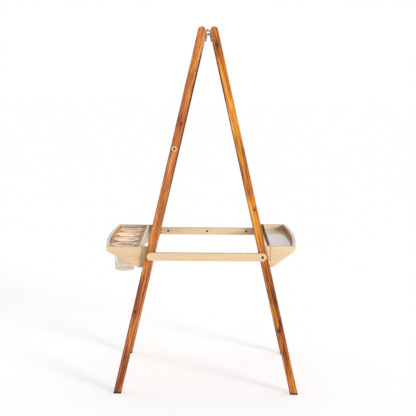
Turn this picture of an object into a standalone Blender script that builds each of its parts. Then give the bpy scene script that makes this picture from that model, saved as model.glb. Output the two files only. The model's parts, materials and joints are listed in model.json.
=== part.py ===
"""Children's double-sided wooden easel: two hinged frames, stretcher bars, two trays and paint cups.

Units are metres, +Z is up and +Y runs along the hinge.  The paint frame leans from -X, the chalk
frame from +X.  The origin is on the floor, in the middle of the easel's overall box.
"""

import math

import bmesh
import bpy
from mathutils import Matrix, Vector

# Overall size
HEIGHT = 1.195
FRAME_WIDTH = 0.620
FOOT_AXIS_X = 0.290
TOP_AXIS_X = 0.017
HINGE_Z = 1.183
GAP = 0.0003

# Legs and feet
LEG_THICK = 0.025
LEG_WIDE = 0.040
FOOT_PAD = 0.005
LEG_ROUND = 0.0025

# Rounding of the lacquered pieces, and how far a cutter runs past the surface it opens
BAR_ROUND = 0.0012
TRAY_ROUND = 0.001
SMALL_ROUND = 0.0006
OVERRUN = 0.001

# Rails and boards, held between the legs; heights are measured down the leg from the hinge
RAIL_THICK = 0.018
TOP_RAIL = (-0.095, -0.050)
LOWER_RAIL = (-0.605, -0.560)
BOARD_THICK = 0.005
GROOVE_DEEP = 0.008
GROOVE_WIDE = 0.0058

# Hinges
KNUCKLE_R = 0.0046
HINGE_PIN_R = 0.0022
HINGE_BORE_R = 0.0026
HINGE_HEAD_R = 0.0037
LEAF_THICK = 0.0026
LEAF_TAB_UP = 0.0025
LEAF_LONG = 0.028
HINGE_WIDE = 0.036
KNUCKLES = 5
HINGE_SCREW_R = 0.0016
HINGE_SCREW_HEAD_R = 0.0034
HINGE_SCREW_HEAD = 0.0016
HINGE_SCREW_DEEP = 0.012
HINGE_SCREW_PLACES = (0.42, 0.80)
HINGE_HEAD_HIGH = 0.0016

# Stretcher bars, outside the legs
BAR_HIGH = 0.026
BAR_THICK = 0.014
BAR_CLEAR = 0.0015
BAR_PIVOT_X = 0.1807
BAR_Z = 0.457
BOLT_R = 0.003
BOLT_BORE_R = 0.0033
BOLT_HEAD_R = 0.0042
BOLT_SINK_R = 0.0046
BOLT_SINK_DEEP = 0.0045
BOLT_HEAD_HIGH = 0.003
BOLT_DEEP = 0.020
PEG_R = 0.004
PEG_PROUD = 0.008
PEG_DEEP = 0.015
PEG_EASE = 0.001
SLOT_R = 0.0047
SLOT_DEEP = 0.008
SLOT_EXIT = (0.0133, -0.0201)
SINK_SPACING = 0.145
SINK_R = 0.0041
SINK_DEEP = 0.003

# Side knobs on the paint legs
KNOB_Z = 0.805
KNOB_R = 0.009
KNOB_PROUD = 0.008
KNOB_SINK_R = 0.0042
KNOB_SCREW_DEEP = 0.015
KNOB_SCREW_HEAD = 0.0020

# Trays
TRAY_HALF = 0.288
TRAY_END_THICK = 0.012
TRAY_LIP_HIGH = 0.0148
TRAY_BOTTOM_FLAT = 0.0105
TRAY_BOW = 0.0145
TRAY_FRONT_THICK = 0.011
TRAY_BACK_BOTTOM_Z = 0.455
BRACKET_WIDE = 0.016
BRACKET_SETBACK = 0.002
BRACKET_MIN = 0.004
PAINT_TRAY = {"side": -1, "back": 0.2126, "lip": 0.3256, "bottom": 0.4158, "top": 0.4836, "wall": 0.008}
CHALK_TRAY = {"side": 1, "back": 0.2070, "lip": 0.2878, "bottom": 0.4200, "top": 0.4888, "wall": 0.005}
CUP_PLATE_DROP = 0.009
CUP_PLATE_THICK = 0.008
CHALK_FLOOR_DROP = 0.0185
CHALK_FLOOR_THICK = 0.004
TRAY_SCREW_Z = 0.470
TRAY_SCREW_R = 0.0022
TRAY_SCREW_HEAD_R = 0.0045
TRAY_SCREW_HEAD = 0.0026
TRAY_SCREW_DEEP = 0.008

# Paint cups
CUP_COUNT = 4
CUP_SPACING = 0.125
CUP_X = 0.273
CUP_BOW = 0.005
CUP_RIM_R = 0.0435
CUP_TOP_R = 0.036
CUP_FOOT_R = 0.032
CUP_HIGH = 0.085
CUP_WALL = 0.002
CUP_RIM_THICK = 0.0035
CUP_HOLE_GAP = 0.0008
CUP_FOOT_RING = 0.005
CUP_FOOT_HOLLOW = 0.0015
CUP_BASE_THICK = 0.004
CUP_EASE = 0.001
CUP_SEGMENTS = 24

# Worked out from the sizes above
LEAN = math.atan((FOOT_AXIS_X - TOP_AXIS_X) / HEIGHT)
SIN_LEAN = math.sin(LEAN)
COS_LEAN = math.cos(LEAN)
HALF_WIDTH = FRAME_WIDTH / 2
LEG_AXIS_OUT = FOOT_AXIS_X * COS_LEAN - HINGE_Z * SIN_LEAN
LEG_INNER_OUT = LEG_AXIS_OUT - LEG_THICK / 2
LEG_OUTER_OUT = LEG_AXIS_OUT + LEG_THICK / 2
BAR_INNER_Y = HALF_WIDTH + BAR_CLEAR
BAR_OUTER_Y = BAR_INNER_Y + BAR_THICK
CUP_PLATE_TOP = PAINT_TRAY["top"] - CUP_PLATE_DROP
PAINT_REACH = PAINT_TRAY["lip"] + TRAY_BOW
CHALK_REACH = max(CHALK_TRAY["lip"] + TRAY_BOW, FOOT_AXIS_X + LEG_THICK / 2 / COS_LEAN)
CENTRE_X = (PAINT_REACH - CHALK_REACH) / 2

PAINT = -1
CHALK = 1
ENDS = {"front": -1, "rear": 1}
SIDE_NAMES = {PAINT: "paint", CHALK: "chalk"}

MATERIALS = {
    "acacia": ((0.50, 0.21, 0.065), 0.45, 0.0),
    "pale_wood": ((0.83, 0.64, 0.40), 0.5, 0.0),
    "whiteboard": ((0.86, 0.86, 0.85), 0.2, 0.0),
    "chalkboard": ((0.03, 0.045, 0.04), 0.8, 0.0),
    "laminate": ((0.68, 0.60, 0.55), 0.25, 0.0),
    "clear_plastic": ((0.86, 0.86, 0.86), 0.08, 0.0),
    "steel": ((0.55, 0.54, 0.53), 0.35, 1.0),
    "dark_steel": ((0.08, 0.05, 0.035), 0.45, 0.8),
    "rubber": ((0.05, 0.02, 0.012), 0.8, 0.0),
}


# ---------------------------------------------------------------- helpers

def clear_scene():
    for obj in list(bpy.data.objects):
        bpy.data.objects.remove(obj, do_unlink=True)


def make_material(name, colour, roughness, metallic):
    material = bpy.data.materials.new(name)
    material.use_nodes = True
    shader = material.node_tree.nodes["Principled BSDF"]
    shader.inputs["Base Color"].default_value = (*colour, 1.0)
    shader.inputs["Roughness"].default_value = roughness
    shader.inputs["Metallic"].default_value = metallic
    return material


def make_empty(name, location, parent=None):
    empty = bpy.data.objects.new(name, None)
    bpy.context.collection.objects.link(empty)
    empty.location = location
    empty.parent = parent
    return empty


def finish_mesh(name, bm, parent, slot, bevel=0.0):
    """Turns a bmesh in easel coordinates into a named object that hangs from its parent empty."""
    bmesh.ops.recalc_face_normals(bm, faces=bm.faces)
    mesh = bpy.data.meshes.new(name)
    bm.to_mesh(mesh)
    bm.free()
    mesh.shade_smooth()
    mesh.set_sharp_from_angle(angle=math.radians(35))
    mesh.materials.append(MATERIAL[slot])
    obj = bpy.data.objects.new(name, mesh)
    bpy.context.collection.objects.link(obj)
    obj.parent = parent
    obj.location = -parent_offset(parent)
    if bevel:
        round_edges = obj.modifiers.new("round_edges", "BEVEL")
        round_edges.width = bevel
        round_edges.segments = 1
        round_edges.limit_method = "ANGLE"
        round_edges.angle_limit = math.radians(40)
    return obj


def parent_offset(parent):
    """Sum of the locations between a parent and the easel's root empty."""
    offset = Vector((0, 0, 0))
    while parent.parent is not None:
        offset += parent.location
        parent = parent.parent
    return offset


def prism(name, outline, y_low, y_high, parent, slot, bevel=0.0):
    """Extrudes an outline of (x, z) points along Y."""
    bm = bmesh.new()
    base = bm.faces.new([bm.verts.new((x, y_low, z)) for x, z in outline])
    grown = bmesh.ops.extrude_face_region(bm, geom=[base])
    moved = [item for item in grown["geom"] if isinstance(item, bmesh.types.BMVert)]
    bmesh.ops.translate(bm, verts=moved, vec=(0, y_high - y_low, 0))
    return finish_mesh(name, bm, parent, slot, bevel)


def span(end, inner, outer):
    """Low and high Y of a piece on one end (-1 front, +1 rear) between two distances from the middle."""
    return sorted((end * inner, end * outer))


def on_panel(side, out, up):
    """Easel (x, z) of a point on a leaning frame: out from the hinge line, up along the legs."""
    x = side * (out * COS_LEAN - up * SIN_LEAN)
    z = HINGE_Z + out * SIN_LEAN + up * COS_LEAN
    return x, z


def up_at_height(out, z):
    """How far up a leaning frame a height above the floor lies."""
    return (z - HINGE_Z - out * SIN_LEAN) / COS_LEAN


def panel_box(side, out_low, out_high, up_low, up_high):
    corners = ((out_low, up_low), (out_high, up_low), (out_high, up_high), (out_low, up_high))
    return [on_panel(side, out, up) for out, up in corners]


def panel_rod(side, y, up, out_low, out_high):
    """Start and end of a rod square to a leaning frame."""
    low_x, low_z = on_panel(side, out_low, up)
    high_x, high_z = on_panel(side, out_high, up)
    return Vector((low_x, y, low_z)), Vector((high_x, y, high_z))


def add_rod(bm, start, end, radius, segments=16):
    """Adds a closed round rod."""
    axis = end - start
    turn = axis.to_track_quat("Z", "Y").to_matrix().to_4x4()
    place = Matrix.Translation((start + end) / 2) @ turn
    bmesh.ops.create_cone(bm, cap_ends=True, segments=segments, radius1=radius, radius2=radius,
                          depth=axis.length, matrix=place)


def add_lathe(bm, profile, place, segments):
    """Turns a (radius, height) profile about Z; it may close on the axis or run round as a ring."""
    on_axis = profile[0][0] == 0
    points = profile[1:-1] if on_axis else profile
    rings = []
    for radius, height in points:
        ring = []
        for step in range(segments):
            angle = 2 * math.pi * step / segments
            spot = Vector((radius * math.cos(angle), radius * math.sin(angle), height))
            ring.append(bm.verts.new(place @ spot))
        rings.append(ring)
    pairs = list(zip(rings, rings[1:]))
    if not on_axis:
        pairs.append((rings[-1], rings[0]))
    for low, high in pairs:
        for step in range(segments):
            after = (step + 1) % segments
            bm.faces.new((low[step], low[after], high[after], high[step]))
    if on_axis:
        bm.faces.new(rings[0])
        bm.faces.new(rings[-1])


def lathe(name, profile, place, parent, slot, segments):
    bm = bmesh.new()
    add_lathe(bm, profile, place, segments)
    return finish_mesh(name, bm, parent, slot)


def cutter(name, bm, parent):
    """A helper solid that only cuts other pieces."""
    obj = finish_mesh(name, bm, parent, "rubber")
    obj.hide_render = True
    obj.display_type = "WIRE"
    return obj


def cut(target, tool, operation="DIFFERENCE"):
    boolean = target.modifiers.new("cut", "BOOLEAN")
    boolean.operation = operation
    boolean.object = tool
    boolean.solver = "EXACT"


def y_rod(bm, x, z, end, inner, outer, radius, segments=16):
    """Adds a rod along Y at one end of the easel."""
    add_rod(bm, Vector((x, end * inner, z)), Vector((x, end * outer, z)), radius, segments)


# ---------------------------------------------------------------- legs, feet, rails and boards

def leg_outline(side):
    radius = LEG_THICK / 2
    top_up = up_at_height(LEG_AXIS_OUT, HEIGHT - radius)
    foot_z = FOOT_PAD + GAP
    points = [on_panel(side, out, up_at_height(out, foot_z))
              for out in (LEG_INNER_OUT, LEG_OUTER_OUT)]
    steps = 12
    for step in range(steps + 1):
        angle = math.pi * step / steps
        out = LEG_AXIS_OUT + radius * math.cos(angle)
        points.append(on_panel(side, out, top_up + radius * math.sin(angle)))
    return points


def make_leg(side, end_name, pivot):
    end = ENDS[end_name]
    name = f"{SIDE_NAMES[side]}_leg_{end_name}"
    y_low, y_high = span(end, HALF_WIDTH - LEG_WIDE, HALF_WIDTH)
    leg = prism(name, leg_outline(side), y_low, y_high, pivot, "acacia", LEG_ROUND)
    holes = bmesh.new()
    for up in hinge_screw_ups():
        y = end * (HALF_WIDTH - LEG_WIDE / 2)
        add_rod(holes, *panel_rod(side, y, up, LEG_INNER_OUT - OVERRUN,
                                  LEG_INNER_OUT + HINGE_SCREW_DEEP + OVERRUN), HINGE_SCREW_R + GAP, 12)
    add_rod(holes, *panel_rod(side, tray_screw_y(end), tray_screw_up(), LEG_INNER_OUT - OVERRUN,
                              LEG_OUTER_OUT + OVERRUN), TRAY_SCREW_R + GAP, 12)
    outside = HALF_WIDTH + OVERRUN
    if side == CHALK:
        y_rod(holes, BAR_PIVOT_X, BAR_Z, end, HALF_WIDTH - BOLT_DEEP - OVERRUN, outside, BOLT_R + GAP)
    else:
        y_rod(holes, -BAR_PIVOT_X, BAR_Z, end, HALF_WIDTH - PEG_DEEP - GAP, outside, PEG_R + GAP)
        y_rod(holes, knob_x(), KNOB_Z, end, HALF_WIDTH - KNOB_SCREW_DEEP - GAP, outside,
              HINGE_SCREW_R + GAP, 12)
    cut(leg, cutter(f"{name}_holes", holes, pivot))


def make_foot_pad(side, end_name, pivot):
    end = ENDS[end_name]
    corners = ((LEG_INNER_OUT, 0), (LEG_OUTER_OUT, 0), (LEG_OUTER_OUT, FOOT_PAD), (LEG_INNER_OUT, FOOT_PAD))
    outline = [on_panel(side, out, up_at_height(out, z)) for out, z in corners]
    y_low, y_high = span(end, HALF_WIDTH - LEG_WIDE + LEG_ROUND / 2, HALF_WIDTH - LEG_ROUND / 2)
    prism(f"{SIDE_NAMES[side]}_foot_pad_{end_name}", outline, y_low, y_high, pivot, "rubber")


def grooved_rail_outline(side, rail, groove_at_top):
    """A rail's section with a groove for the board in its top or its bottom edge."""
    low, high = rail
    edge, inside = (high, high - GROOVE_DEEP) if groove_at_top else (low, low + GROOVE_DEEP)
    far = low if groove_at_top else high
    thick = RAIL_THICK / 2
    groove = GROOVE_WIDE / 2
    points = ((-thick, far), (thick, far), (thick, edge), (groove, edge), (groove, inside),
              (-groove, inside), (-groove, edge), (-thick, edge))
    return [on_panel(side, LEG_AXIS_OUT + out, up) for out, up in points]


def make_panel(side, pivot):
    """The two rails between a frame's legs and the board that sits in their grooves."""
    prefix = SIDE_NAMES[side]
    reach = HALF_WIDTH - LEG_WIDE - GAP
    prism(f"{prefix}_top_rail", grooved_rail_outline(side, TOP_RAIL, False), -reach, reach, pivot,
          "acacia")
    prism(f"{prefix}_lower_rail", grooved_rail_outline(side, LOWER_RAIL, True), -reach, reach, pivot,
          "acacia")
    half = BOARD_THICK / 2
    outline = panel_box(side, LEG_AXIS_OUT - half, LEG_AXIS_OUT + half,
                        LOWER_RAIL[1] - GROOVE_DEEP + GAP * 2, TOP_RAIL[0] + GROOVE_DEEP - GAP * 2)
    prism(f"{prefix}_board", outline, -reach, reach, pivot,
          "whiteboard" if side == PAINT else "chalkboard")


# ---------------------------------------------------------------- hinges

def hinge_screw_ups():
    return [-LEAF_LONG * share for share in HINGE_SCREW_PLACES]


def knuckle_span(end, index):
    """Low and high Y of one knuckle of the hinge at one end."""
    middle = end * (HALF_WIDTH - LEG_WIDE / 2)
    pitch = HINGE_WIDE / KNUCKLES
    low = middle - HINGE_WIDE / 2 + index * pitch
    return low + GAP / 2, low + pitch - GAP / 2


def make_leaf(side, end_name, pivot):
    """A hinge leaf: a plate on the leg's inner face, with tabs that carry its knuckles."""
    end = ENDS[end_name]
    name = f"{SIDE_NAMES[side]}_hinge_leaf_{end_name}"
    face = LEG_INNER_OUT - GAP
    plate_top = -KNUCKLE_R - 0.0006
    middle = end * (HALF_WIDTH - LEG_WIDE / 2)
    leaf = prism(name, panel_box(side, face - LEAF_THICK, face, -LEAF_LONG, plate_top),
                 middle - HINGE_WIDE / 2, middle + HINGE_WIDE / 2, pivot, "steel")
    tab_outline = panel_box(side, face - LEAF_THICK, face, plate_top - OVERRUN, LEAF_TAB_UP)
    first = 0 if side == CHALK else 1
    for index in range(first, KNUCKLES, 2):
        y_low, y_high = knuckle_span(end, index)
        tab = prism(f"{name}_tab_{index}", tab_outline, y_low, y_high, pivot, "steel")
        barrel = bmesh.new()
        y_rod(barrel, 0, HINGE_Z, 1, y_low, y_high, KNUCKLE_R)
        for tool in (tab, cutter(f"{name}_barrel_{index}", barrel, pivot)):
            tool.hide_render = True
            tool.display_type = "WIRE"
            cut(leaf, tool, "UNION")
    holes = bmesh.new()
    y_rod(holes, 0, HINGE_Z, 1, middle - HINGE_WIDE, middle + HINGE_WIDE, HINGE_BORE_R)
    for up in hinge_screw_ups():
        add_rod(holes, *panel_rod(side, middle, up, face - LEAF_THICK - OVERRUN, face + OVERRUN),
                HINGE_SCREW_R + GAP, 12)
    cut(leaf, cutter(f"{name}_holes", holes, pivot))


def make_hinge_pin(end_name, pivot):
    """A pin with a rounded head beyond each end of its hinge."""
    middle = ENDS[end_name] * (HALF_WIDTH - LEG_WIDE / 2)
    head = HINGE_WIDE / 2 + GAP
    half = ((HINGE_PIN_R, head), (HINGE_HEAD_R, head), (HINGE_HEAD_R, head + HINGE_HEAD_HIGH / 2),
            (HINGE_HEAD_R * 0.6, head + HINGE_HEAD_HIGH))
    profile = [(0, -head - HINGE_HEAD_HIGH)]
    profile += [(radius, -height) for radius, height in reversed(half)]
    profile += list(half)
    profile.append((0, head + HINGE_HEAD_HIGH))
    turn = Matrix.Rotation(math.radians(90), 4, "X")
    place = Matrix.Translation((0, middle, HINGE_Z)) @ turn
    lathe(f"hinge_pin_{end_name}", profile, place, pivot, "steel", 12)


def screw(name, seat, tip, shank_r, head_r, head_high, parent):
    """A round-headed screw: its head stands on the seat, its shank runs to the tip."""
    along = (tip - seat).normalized()
    base = seat - along * GAP
    low = -(tip - base).length
    profile = ((0, low), (shank_r, low), (shank_r, 0), (head_r, 0), (head_r, head_high * 0.35),
               (head_r * 0.72, head_high * 0.8), (head_r * 0.3, head_high), (0, head_high))
    turn = (-along).to_track_quat("Z", "Y").to_matrix().to_4x4()
    return lathe(name, profile, Matrix.Translation(base) @ turn, parent, "dark_steel", 10)


def make_hinge_screws(side, end_name, pivot):
    face = LEG_INNER_OUT - GAP - LEAF_THICK
    middle = ENDS[end_name] * (HALF_WIDTH - LEG_WIDE / 2)
    for index, up in enumerate(hinge_screw_ups(), start=1):
        seat, tip = panel_rod(side, middle, up, face, LEG_INNER_OUT + HINGE_SCREW_DEEP)
        screw(f"{SIDE_NAMES[side]}_hinge_screw_{end_name}_{index}", seat, tip, HINGE_SCREW_R,
              HINGE_SCREW_HEAD_R, HINGE_SCREW_HEAD, pivot)


# ---------------------------------------------------------------- stretcher bars

def bar_outline():
    """A bar with full round ends, drawn at its open position."""
    radius = BAR_HIGH / 2
    points = []
    steps = 12
    for centre, start in ((BAR_PIVOT_X, -math.pi / 2), (-BAR_PIVOT_X, math.pi / 2)):
        for step in range(steps + 1):
            angle = start + math.pi * step / steps
            points.append((centre + radius * math.cos(angle), BAR_Z + radius * math.sin(angle)))
    return points


def make_bar(end_name, pivot):
    end = ENDS[end_name]
    y_low, y_high = span(end, BAR_INNER_Y, BAR_OUTER_Y)
    bar = prism(f"stretcher_bar_{end_name}", bar_outline(), y_low, y_high, pivot, "pale_wood", BAR_ROUND)
    inside = BAR_INNER_Y - OVERRUN
    sink_floor = BAR_OUTER_Y - BOLT_SINK_DEEP
    holes = bmesh.new()
    y_rod(holes, BAR_PIVOT_X, BAR_Z, end, inside, sink_floor + OVERRUN, BOLT_BORE_R)
    cut(bar, cutter(f"stretcher_bar_{end_name}_bore", holes, pivot))
    sinks = bmesh.new()
    y_rod(sinks, BAR_PIVOT_X, BAR_Z, end, sink_floor, BAR_OUTER_Y + OVERRUN, BOLT_SINK_R, 20)
    for index in (-1, 0, 1):
        y_rod(sinks, index * SINK_SPACING, BAR_Z, end, inside, BAR_INNER_Y + SINK_DEEP, SINK_R)
    cut(bar, cutter(f"stretcher_bar_{end_name}_sinks", sinks, pivot))
    cut(bar, make_catch_slot(end_name, pivot))


def make_catch_slot(end_name, pivot):
    """The blind slot that drops over the catch peg; it leaves the bar at its lower edge."""
    end = ENDS[end_name]
    start = Vector((-BAR_PIVOT_X, 0, BAR_Z))
    leave = start + Vector((SLOT_EXIT[0], 0, SLOT_EXIT[1]))
    along = (leave - start).normalized()
    across = Vector((-along.z, 0, along.x)) * SLOT_R
    heading = math.atan2(across.z, across.x)
    outline = []
    steps = 8
    for step in range(steps + 1):
        angle = heading + math.pi * step / steps
        outline.append((start.x + SLOT_R * math.cos(angle), start.z + SLOT_R * math.sin(angle)))
    outline += [(leave.x - across.x, leave.z - across.z), (leave.x + across.x, leave.z + across.z)]
    y_low, y_high = span(end, BAR_INNER_Y - OVERRUN, BAR_INNER_Y + SLOT_DEEP)
    slot = prism(f"stretcher_bar_{end_name}_slot", outline, y_low, y_high, pivot, "rubber")
    slot.hide_render = True
    slot.display_type = "WIRE"
    return slot


def make_bar_bolt(end_name, pivot):
    """The pivot bolt: its shank turns in the bar, and its head sits in the bar's counterbore."""
    end = ENDS[end_name]
    start = HALF_WIDTH - BOLT_DEEP
    seat = BAR_OUTER_Y - BOLT_SINK_DEEP + GAP
    top = seat + BOLT_HEAD_HIGH
    socket_floor = seat + BOLT_HEAD_HIGH * 0.4
    profile = ((0, start), (BOLT_R, start), (BOLT_R, seat), (BOLT_HEAD_R, seat),
               (BOLT_HEAD_R, seat + BOLT_HEAD_HIGH * 0.7), (BOLT_HEAD_R * 0.8, top),
               (BOLT_R * 0.6, top), (BOLT_R * 0.6, socket_floor), (0, socket_floor))
    bm = bmesh.new()
    turn = Matrix.Rotation(math.radians(-90 * end), 4, "X")
    add_lathe(bm, profile, Matrix.Translation((BAR_PIVOT_X, 0, BAR_Z)) @ turn, 16)
    finish_mesh(f"pivot_bolt_{end_name}", bm, pivot, "dark_steel")


def make_catch_peg(end_name, pivot):
    end = ENDS[end_name]
    bm = bmesh.new()
    start = HALF_WIDTH - PEG_DEEP
    tip = HALF_WIDTH + PEG_PROUD
    profile = ((0, start), (PEG_R, start), (PEG_R, tip - PEG_EASE), (PEG_R - PEG_EASE, tip), (0, tip))
    turn = Matrix.Rotation(math.radians(-90 * end), 4, "X")
    add_lathe(bm, profile, Matrix.Translation((-BAR_PIVOT_X, 0, BAR_Z)) @ turn, 16)
    finish_mesh(f"catch_peg_{end_name}", bm, pivot, "steel")


def knob_x():
    """X of the side knobs, which sit on the paint legs' axis."""
    return -(FOOT_AXIS_X - (FOOT_AXIS_X - TOP_AXIS_X) * KNOB_Z / HEIGHT)


def make_side_knob(end_name, pivot):
    """A turned knob on the outside of a paint leg, with its screw sunk in the middle."""
    end = ENDS[end_name]
    turn = Matrix.Rotation(math.radians(-90 * end), 4, "X")
    place = Matrix.Translation((knob_x(), end * HALF_WIDTH, KNOB_Z)) @ turn
    shank = HINGE_SCREW_R + GAP
    profile = ((shank, GAP), (KNOB_R * 0.8, GAP), (KNOB_R, KNOB_PROUD * 0.45), (KNOB_R, KNOB_PROUD * 0.8),
               (KNOB_R * 0.82, KNOB_PROUD), (KNOB_SINK_R, KNOB_PROUD), (KNOB_SINK_R, KNOB_PROUD * 0.45),
               (shank, KNOB_PROUD * 0.45))
    lathe(f"side_knob_{end_name}", profile, place, pivot, "pale_wood", 20)


def make_knob_screw(end_name, pivot):
    end = ENDS[end_name]
    seat = Vector((knob_x(), end * (HALF_WIDTH + KNOB_PROUD * 0.45), KNOB_Z))
    tip = Vector((knob_x(), end * (HALF_WIDTH - KNOB_SCREW_DEEP), KNOB_Z))
    screw(f"side_knob_screw_{end_name}", seat, tip, HINGE_SCREW_R, KNOB_SINK_R - 2 * GAP,
          KNOB_SCREW_HEAD, pivot)


# ---------------------------------------------------------------- trays

def tray_screw_y(end):
    return end * (TRAY_HALF - BRACKET_SETBACK - BRACKET_WIDE / 2)


def tray_screw_up():
    return up_at_height(LEG_AXIS_OUT, TRAY_SCREW_Z)


def leg_outer_x(z):
    """How far out a leg's outer face is at a height."""
    axis_x = FOOT_AXIS_X - (FOOT_AXIS_X - TOP_AXIS_X) * z / HEIGHT
    return axis_x + LEG_THICK / 2 / COS_LEAN


def under_slope(tray, out):
    """Height of the tray's sloping underside at a distance out."""
    low_out = tray["back"] + TRAY_BOTTOM_FLAT
    lip_z = tray["top"] - TRAY_LIP_HIGH
    share = (out - low_out) / (tray["lip"] - low_out)
    return tray["bottom"] + (lip_z - tray["bottom"]) * share


def make_tray_ends(tray, pivot):
    side = tray["side"]
    lip_z = tray["top"] - TRAY_LIP_HIGH
    points = ((tray["back"], tray["bottom"]), (tray["back"] + TRAY_BOTTOM_FLAT, tray["bottom"]),
              (tray["lip"], lip_z), (tray["lip"], tray["top"]), (tray["back"], tray["top"]))
    outline = [(side * x, z) for x, z in points]
    for end_name, end in ENDS.items():
        y_low, y_high = span(end, TRAY_HALF - TRAY_END_THICK, TRAY_HALF)
        prism(f"{SIDE_NAMES[side]}_tray_end_{end_name}", outline, y_low, y_high, pivot, "pale_wood",
              TRAY_ROUND)


def make_brackets(tray, pivot):
    """Wedges that fill the space between the leaning leg and the upright back of the tray."""
    side = tray["side"]
    seam = tray["back"] - GAP
    slope = (FOOT_AXIS_X - TOP_AXIS_X) / HEIGHT
    thin_z = (leg_outer_x(0) + GAP - (seam - BRACKET_MIN)) / slope
    bottom = max(tray["bottom"], thin_z)
    points = ((leg_outer_x(bottom) + GAP, bottom), (seam, bottom), (seam, tray["top"]),
              (leg_outer_x(tray["top"]) + GAP, tray["top"]))
    outline = [(side * x, z) for x, z in points]
    outer = TRAY_HALF - BRACKET_SETBACK
    for end_name, end in ENDS.items():
        y_low, y_high = span(end, outer - BRACKET_WIDE, outer)
        bracket = prism(f"{SIDE_NAMES[side]}_bracket_{end_name}", outline, y_low, y_high, pivot,
                        "pale_wood", SMALL_ROUND)
        hole = bmesh.new()
        add_rod(hole, *panel_rod(side, tray_screw_y(end), tray_screw_up(), LEG_OUTER_OUT - OVERRUN,
                                 LEG_OUTER_OUT + TRAY_SCREW_DEEP + GAP), TRAY_SCREW_R + GAP, 12)
        cut(bracket, cutter(f"{bracket.name}_hole", hole, pivot))


def make_tray_screw(side, end_name, pivot):
    end = ENDS[end_name]
    seat, tip = panel_rod(side, tray_screw_y(end), tray_screw_up(), LEG_INNER_OUT,
                          LEG_OUTER_OUT + TRAY_SCREW_DEEP)
    screw(f"{SIDE_NAMES[side]}_tray_screw_{end_name}", seat, tip, TRAY_SCREW_R, TRAY_SCREW_HEAD_R,
          TRAY_SCREW_HEAD, pivot)


def bow(y):
    """How far the bowed front stands out at a distance along the tray."""
    return TRAY_BOW * (1 - (y / TRAY_HALF) ** 2)


def bow_stations(count=16):
    reach = TRAY_HALF - TRAY_END_THICK - GAP
    return [-reach + 2 * reach * step / count for step in range(count + 1)]


def make_tray_back(tray, pivot):
    side = tray["side"]
    reach = TRAY_HALF - TRAY_END_THICK - GAP
    low, high = tray["back"], tray["back"] + tray["wall"]
    outline = [(side * low, TRAY_BACK_BOTTOM_Z), (side * high, TRAY_BACK_BOTTOM_Z),
               (side * high, tray["top"]), (side * low, tray["top"])]
    prism(f"{SIDE_NAMES[side]}_tray_back", outline, -reach, reach, pivot, "pale_wood", SMALL_ROUND)


def make_tray_front(tray, pivot):
    """The bowed front, swept through its stations with a sloping lower edge."""
    side = tray["side"]
    inner = tray["lip"] - TRAY_FRONT_THICK
    section = ((inner, under_slope(tray, inner)), (tray["lip"], under_slope(tray, tray["lip"])),
               (tray["lip"], tray["top"]), (inner, tray["top"]))
    bm = bmesh.new()
    rings = []
    for y in bow_stations():
        rings.append([bm.verts.new((side * (x + bow(y)), y, z)) for x, z in section])
    for low, high in zip(rings, rings[1:]):
        for index in range(len(section)):
            after = (index + 1) % len(section)
            bm.faces.new((low[index], low[after], high[after], high[index]))
    bm.faces.new(rings[0])
    bm.faces.new(rings[-1])
    finish_mesh(f"{SIDE_NAMES[side]}_tray_front", bm, pivot, "pale_wood", TRAY_ROUND)


def make_tray_plate(name, tray, drop, thick, pivot, slot):
    """A level plate between the back and the bowed front."""
    side = tray["side"]
    inner = tray["back"] + tray["wall"] + GAP
    top = tray["top"] - drop
    stations = bow_stations()
    outline = [(inner, stations[0])]
    outline += [(tray["lip"] - TRAY_FRONT_THICK + bow(y) - 2 * GAP, y) for y in stations]
    outline.append((inner, stations[-1]))
    bm = bmesh.new()
    base = bm.faces.new([bm.verts.new((side * x, y, top - thick)) for x, y in outline])
    grown = bmesh.ops.extrude_face_region(bm, geom=[base])
    moved = [item for item in grown["geom"] if isinstance(item, bmesh.types.BMVert)]
    bmesh.ops.translate(bm, verts=moved, vec=(0, 0, thick))
    return finish_mesh(name, bm, pivot, slot)


def cup_places():
    """X and Y of each cup; the row follows the bow of the tray's front a little."""
    places = []
    for index in range(CUP_COUNT):
        y = (index - (CUP_COUNT - 1) / 2) * CUP_SPACING
        last = (CUP_COUNT - 1) / 2 * CUP_SPACING
        places.append((-(CUP_X + CUP_BOW * (1 - (y / last) ** 2)), y))
    return places


def cup_outer_radius(depth):
    """Outer radius of a cup at a depth below its rim."""
    return CUP_TOP_R + (CUP_FOOT_R - CUP_TOP_R) * depth / CUP_HIGH


def make_cup_plate(pivot):
    plate = make_tray_plate("paint_cup_plate", PAINT_TRAY, CUP_PLATE_DROP, CUP_PLATE_THICK, pivot,
                            "pale_wood")
    holes = bmesh.new()
    for x, y in cup_places():
        add_rod(holes, Vector((x, y, CUP_PLATE_TOP - CUP_PLATE_THICK - OVERRUN)),
                Vector((x, y, CUP_PLATE_TOP + OVERRUN)), CUP_TOP_R + CUP_HOLE_GAP, 32)
    cut(plate, cutter("paint_cup_plate_holes", holes, pivot))


def cup_profile():
    """Closed section of a cup, heights from the underside of its rim."""
    bottom = CUP_RIM_THICK - CUP_HIGH
    foot_in = CUP_FOOT_R - CUP_FOOT_RING
    hollow = bottom + CUP_FOOT_HOLLOW
    floor = hollow + CUP_BASE_THICK
    wall_in = CUP_FOOT_R - CUP_WALL
    ease = CUP_EASE
    return ((0.0, hollow), (foot_in, hollow), (foot_in, bottom), (CUP_FOOT_R - ease, bottom),
            (CUP_FOOT_R, bottom + 2 * ease), (CUP_TOP_R, 0.0), (CUP_RIM_R - ease, 0.0), (CUP_RIM_R, ease),
            (CUP_RIM_R, CUP_RIM_THICK - ease), (CUP_RIM_R - ease, CUP_RIM_THICK),
            (CUP_TOP_R - CUP_WALL, CUP_RIM_THICK), (wall_in, floor + 2.5 * ease),
            (wall_in - 3 * ease, floor), (0.0, floor))


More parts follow.
